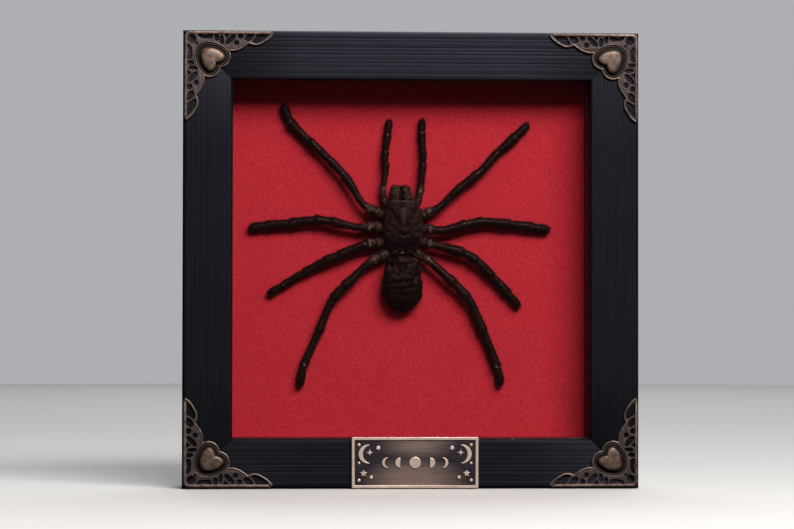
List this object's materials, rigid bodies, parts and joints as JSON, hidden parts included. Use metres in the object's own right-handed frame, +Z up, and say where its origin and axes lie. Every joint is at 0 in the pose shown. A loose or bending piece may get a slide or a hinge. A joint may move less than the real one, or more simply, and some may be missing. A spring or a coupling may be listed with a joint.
{
  "type": "framed tarantula specimen",
  "caption": "Dried tarantula spread on red cloth behind glass in a black reeded shadow-box frame with pierced bronze corner pieces, an ornamented plate and a hanger on the back.",
  "frame": {"origin": "middle of the frame's bottom face, at the middle of its depth", "axes": "+Z up along the frame's height, +X to the right seen from the front, the glass and the spider's back face -Y"},
  "size_m": [0.2032, 0.037, 0.2032],
  "materials": {
    "black_wood": "black satin lacquer over reeded moulding",
    "clear_glass": "clear picture glass",
    "red_cloth": "fine napped cloth with a soft mottled pile",
    "brown_board": "pressed hardboard",
    "grey_board": "grey card board",
    "aged_bronze": "antique bronze, dark in the hollows and worn bright on the edges",
    "zinc_steel": "bright zinc plate",
    "spider_shell": "dark brown dry cuticle, glossy on the thighs, under short brown hairs"
  },
  "bodies": {
    "root": {"rail_top": "black_wood", "rail_bottom": "black_wood", "rail_left": "black_wood", "rail_right": "black_wood", "glass_pane": "clear_glass", "liner_top": "red_cloth", "liner_bottom": "red_cloth", "liner_left": "red_cloth", "liner_right": "red_cloth", "backing_cloth": "red_cloth", "backing_board": "grey_board", "back_panel": "brown_board", "panel_tab_1": "zinc_steel", "panel_tab_2": "zinc_steel", "panel_tab_3": "zinc_steel", "panel_tab_4": "zinc_steel", "panel_tab_5": "zinc_steel", "panel_tab_6": "zinc_steel", "panel_tab_7": "zinc_steel", "panel_tab_8": "zinc_steel", "hanger": "zinc_steel", "hanger_nail_left": "zinc_steel", "hanger_nail_right": "zinc_steel", "corner_top_left": "aged_bronze", "corner_top_right": "aged_bronze", "corner_bottom_left": "aged_bronze", "corner_bottom_right": "aged_bronze", "name_plate": "aged_bronze", "carapace": "spider_shell", "abdomen": "spider_shell", "chelicera_left": "spider_shell", "chelicera_right": "spider_shell", "pedipalp_left": "spider_shell", "pedipalp_right": "spider_shell", "leg_left_1": "spider_shell", "leg_left_2": "spider_shell", "leg_left_3": "spider_shell", "leg_left_4": "spider_shell", "leg_right_1": "spider_shell", "leg_right_2": "spider_shell", "leg_right_3": "spider_shell", "leg_right_4": "spider_shell"}
  },
  "joints": []
}
